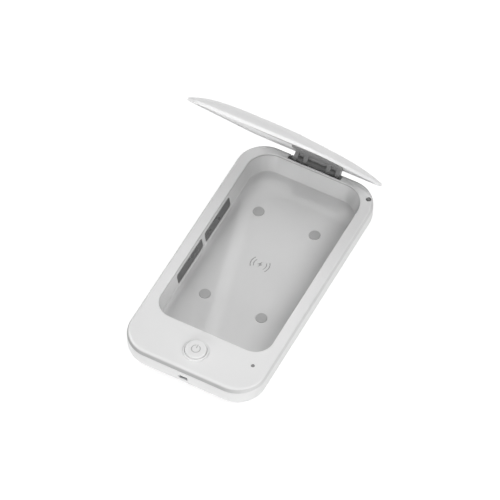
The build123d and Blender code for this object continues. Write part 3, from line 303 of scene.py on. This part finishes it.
# ---------------------------------------------------------------- what a user would change
class CasingSettings(bpy.types.PropertyGroup):
    """Colours and gloss of the moulded casing."""
    white: StringProperty(
        name="Casing white", description="Colour of the casing, as an sRGB hex code", default="E6E6E6")
    lid: StringProperty(
        name="Lid", description="Colour of the lid, as an sRGB hex code", default="F2F2F2")
    # The tray is the casing's white plastic set greyer: painted shade for the cavity.
    tray: StringProperty(
        name="Tray", description="Colour of the phone cavity, as an sRGB hex code", default="D8D8D8")
    liner: StringProperty(
        name="Lid liner", description="Colour of the lid's inner panel, as an sRGB hex code", default="B8B8B8")
    hinge: StringProperty(
        name="Hinge", description="Colour of the hinge parts, as an sRGB hex code", default="A4A4A4")
    gloss_rough: FloatProperty(
        name="Casing roughness", description="Roughness of the casing",
        default=0.34, min=0.0, max=1.0, subtype="FACTOR")
    tray_rough: FloatProperty(
        name="Tray roughness", description="Roughness of the polished tray",
        default=0.1, min=0.0, max=1.0, subtype="FACTOR")
    tray_bright: FloatProperty(
        name="Tray metal", description="How mirror-like the tray's floor is",
        default=0.16, min=0.0, max=1.0, subtype="FACTOR")


class StageSettings(bpy.types.PropertyGroup):
    """Camera, lamps and floor."""
    azimuth: FloatProperty(
        name="Azimuth", description="Camera's turn to the right of straight ahead",
        default=math.radians(27.82), unit="ROTATION")
    elevation: FloatProperty(
        name="Elevation", description="Camera's height angle", default=math.radians(54.13), unit="ROTATION")
    eye: FloatVectorProperty(
        name="Eye", description="Place of the camera",
        default=(0.9287, -1.7656, 2.8006), unit="LENGTH", subtype="XYZ")
    lens: FloatProperty(
        name="Lens", description="Focal length in millimetres", default=316.8, min=1.0)
    world: FloatProperty(
        name="Fill", description="Strength of the even light from all round", default=0.02, min=0.0)
    top: FloatProperty(
        name="Top lamp", description="Power of the overhead soft box", default=4.0, min=0.0, unit="POWER")
    left: FloatProperty(
        name="Left lamp", description="Power of the soft box on the left",
        default=14.2, min=0.0, unit="POWER")
    right: FloatProperty(
        name="Right lamp", description="Power of the soft box on the right",
        default=15.6, min=0.0, unit="POWER")
    front: FloatProperty(
        name="Front lamp", description="Power of the low soft box in front",
        default=13.0, min=0.0, unit="POWER")
    corner: FloatProperty(
        name="Corner lamp", description="Power of the soft box at the front right",
        default=5.0, min=0.0, unit="POWER")


# ---------------------------------------------------------------- operators
class SANITIZER_OT_casing(bpy.types.Operator):
    """Finishes for the shell, deck, tray, button and feet"""
    bl_idname = "sanitizer.casing"
    bl_label = "Casing finishes"

    def execute(self, context):
        s = context.scene.sanitizer_casing
        deck_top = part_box("deck_cover")[1].z
        tray_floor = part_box("phone_pads")[1].z - PAD_PROUD
        button_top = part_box("power_button")[1].z
        dress(moulded("Moulded ABS, satin", s.white, s.gloss_rough), "base_shell")
        # The deck's rounded edge carries painted shade.
        dress(cover_plastic("Moulded ABS, satin deck", s.white, s.gloss_rough, shade_share=0.5), "deck_cover")
        dress(reflector("Metallised ABS tray", s.tray, s.tray_rough, s.tray_bright,
                        mark_z=tray_floor - MARK_DEPTH, rim_z=deck_top), "cavity_tray")
        dress(moulded("Moulded ABS, bezel", s.white, rough=0.3, grain_mm=0.2), "button_bezel")
        dress(moulded("Moulded ABS, button", s.white, rough=0.3, grain_mm=0.2,
                      mark_z=button_top - MARK_DEPTH), "power_button")
        dress(moulded("Silicone pad", "A6A6A6", rough=0.62, grain_mm=0.4, grain_depth=0.01, spread=0.03,
                      sheen=0.2), "phone_pads")
        dress(moulded("Rubber foot", "7A7A7A", rough=0.8, grain_mm=0.3, grain_depth=0.02, spread=0.05,
                      sheen=0.2), "rubber_feet")
        return {"FINISHED"}


class SANITIZER_OT_lid(bpy.types.Operator):
    """Finishes for the lid, its liner and the hinge"""
    bl_idname = "sanitizer.lid"
    bl_label = "Lid and hinge finishes"

    def execute(self, context):
        s = context.scene.sanitizer_casing
        dress(moulded("Moulded ABS, lid", s.lid, s.gloss_rough), "lid_shell")
        dress(moulded("Satin reflector panel", s.liner, rough=0.42, grain_mm=0.6, grain_depth=0.001),
              "lid_liner")
        dress(moulded("Glass-filled nylon, grey", s.hinge, rough=0.48, grain_mm=0.18, grain_depth=0.012,
                      spread=0.04), "lid_hinge_bracket", "hinge_base")
        dress(metal("Ground steel pin", "B9BABC", rough=0.22, streak=(1.0, 8.0, 8.0)), "hinge_pin")
        dress(metal("Spring steel", "8E8F92", rough=0.3), "friction_washers")
        dress(metal("Zinc-plated screw steel", "A9ABAE", rough=0.34, streak_mm=0.2), "bracket_screws",
              "hinge_screws", "cover_screws", "tray_screws", "board_screws")
        return {"FINISHED"}


class SANITIZER_OT_electronics(bpy.types.Operator):
    """Finishes for lamps, windows, boards, coil, switches and the socket"""
    bl_idname = "sanitizer.electronics"
    bl_label = "Electronics finishes"

    def execute(self, context):
        low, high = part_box("charging_coil")
        dress(winding("Enamelled copper winding", "C77A4A", centre=(low + high) / 2), "charging_coil")
        dress(moulded("Sintered ferrite", "2A2A2D", rough=0.7, grain_mm=0.3, grain_depth=0.02, spread=0.15),
              "ferrite_shield")
        dress(board("Green solder mask", "1F5B33"), "control_board", "charger_board")
        dress(board("White solder mask", "D5D8D2"), "uv_board_left", "uv_board_right")
        dress(led_package("Ceramic LED body", "E8E2C8", "B9A7E0"), "uv_leds_left", "uv_leds_right",
              "status_led")
        dress(smoked_pane("Smoked lamp window", "6C6C6C", rough=0.3), "uv_window_left", "uv_window_right")
        dress(smoked_pane("Smoked light pipe", "8C8C8C", rough=0.2), "light_pipe")
        dress(moulded("Black nylon switch", "1C1C1C", rough=0.5, grain_mm=0.15, grain_depth=0.01,
                      spread=0.08), "tact_switch", "lid_switch_body", "switch_plunger")
        dress(moulded("Acetal pin", "8E8E8E", rough=0.4), "lid_switch_plunger")
        dress(metal("Tin-plated socket", "ECEDEE", rough=0.45, streak=(6.0, 1.0, 6.0)), "usb_socket")
        return {"FINISHED"}


class SANITIZER_OT_stage(bpy.types.Operator):
    """White studio with soft boxes and the camera"""
    bl_idname = "sanitizer.stage"
    bl_label = "Studio"

    def soft_box(self, name, place, size, power):
        """A rectangular lamp that looks at the box."""
        bpy.ops.object.light_add(type="AREA", location=place)
        lamp = bpy.context.object
        lamp.name = name
        lamp.data.shape = "RECTANGLE"
        lamp.data.size, lamp.data.size_y = size
        lamp.data.energy = power
        lamp.rotation_euler = (MIDDLE - Vector(place)).to_track_quat("-Z", "Y").to_euler()

    def lay_floor(self):
        """Floor that the camera, gloss and glass see as white, and that lights the object as plain grey."""
        bpy.ops.object.select_all(action="DESELECT")
        bpy.ops.mesh.primitive_plane_add(size=16.0, location=(0, 0, 0))
        floor = bpy.context.object
        floor.name = "studio_floor"
        material, tree, _ = new_material("White studio floor")
        path = add(tree, "ShaderNodeLightPath")
        seen = add(tree, "ShaderNodeMath", {0: (path, "Is Camera Ray"), 1: (path, "Is Glossy Ray")},
                   operation="MAXIMUM")
        seen = add(tree, "ShaderNodeMath", {0: seen, 1: (path, "Is Transmission Ray")}, operation="MAXIMUM")
        plain = add(tree, "ShaderNodeBsdfDiffuse", {"Color": (0.8, 0.8, 0.8, 1.0)})
        pale = add(tree, "ShaderNodeBsdfDiffuse", {"Color": (0.3, 0.3, 0.3, 1.0)})
        glow = add(tree, "ShaderNodeEmission", {"Color": WHITE, "Strength": 0.85})
        shown = add(tree, "ShaderNodeAddShader", {0: pale, 1: glow})
        mixed = add(tree, "ShaderNodeMixShader", {"Fac": seen, 1: plain, 2: shown})
        floor.data.materials.append(finished(material, tree, mixed))

    def fill_evenly(self, context, fill):
        """Faint even light, seen by the camera as white."""
        world = bpy.data.worlds.new("Studio")
        world.use_nodes = True
        tree = world.node_tree
        tree.nodes.clear()
        path = add(tree, "ShaderNodeLightPath")
        even = add(tree, "ShaderNodeBackground", {"Color": WHITE, "Strength": fill})
        white = add(tree, "ShaderNodeBackground", {"Color": WHITE, "Strength": 1.0})
        mixed = add(tree, "ShaderNodeMixShader", {"Fac": (path, "Is Camera Ray"), 1: even, 2: white})
        add(tree, "ShaderNodeOutputWorld", {"Surface": mixed})
        context.scene.world = world

    def place_camera(self, context, s):
        """The reference's viewing angle, on a 36 mm wide sensor."""
        turn = (math.radians(90) - s.elevation, 0.0, s.azimuth)
        bpy.ops.object.camera_add(location=s.eye, rotation=turn)
        camera = context.object
        camera.data.lens = s.lens
        camera.data.sensor_width = 36.0
        camera.data.clip_start, camera.data.clip_end = 0.05, 60.0
        context.scene.camera = camera

    def execute(self, context):
        s = context.scene.sanitizer_stage
        self.lay_floor()
        self.fill_evenly(context, s.world)
        self.soft_box("top_box", place=(0.1, 0.0, 1.6), size=(1.4, 1.4), power=s.top)
        self.soft_box("left_box", place=(-1.2, 0.0, 1.3), size=(1.0, 1.0), power=s.left)
        self.soft_box("right_box", place=(1.2, 0.05, 1.3), size=(1.0, 1.0), power=s.right)
        self.soft_box("front_box", place=(0.0, -1.7, 0.35), size=(1.6, 0.6), power=s.front)
        self.soft_box("corner_box", place=(1.2, -1.2, 0.6), size=(0.9, 0.9), power=s.corner)
        self.place_camera(context, s)
        context.scene.view_settings.view_transform = "Standard"
        return {"FINISHED"}


class SANITIZER_PT_panel(bpy.types.Panel):
    """Sidebar panel with the steps in order"""
    bl_label = "Sanitizer box"
    bl_idname = "SANITIZER_PT_panel"
    bl_space_type = "VIEW_3D"
    bl_region_type = "UI"
    bl_category = "Sanitizer"

    def draw(self, context):
        for group in (context.scene.sanitizer_casing, context.scene.sanitizer_stage):
            box = self.layout.box()
            for name in group.__annotations__:
                box.prop(group, name)
        for step in STEPS:
            self.layout.operator(step.bl_idname)


STEPS = (SANITIZER_OT_casing, SANITIZER_OT_lid, SANITIZER_OT_electronics, SANITIZER_OT_stage)
CLASSES = (CasingSettings, StageSettings, *STEPS, SANITIZER_PT_panel)


def register():
    for cls in CLASSES:
        bpy.utils.register_class(cls)
    bpy.types.Scene.sanitizer_casing = PointerProperty(type=CasingSettings)
    bpy.types.Scene.sanitizer_stage = PointerProperty(type=StageSettings)


def unregister():
    del bpy.types.Scene.sanitizer_casing
    del bpy.types.Scene.sanitizer_stage
    for cls in reversed(CLASSES):
        bpy.utils.unregister_class(cls)


def main():
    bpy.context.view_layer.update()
    register()
    bpy.ops.sanitizer.casing()
    bpy.ops.sanitizer.lid()
    bpy.ops.sanitizer.electronics()
    bpy.ops.sanitizer.stage()


if __name__ == "__main__":
    main()
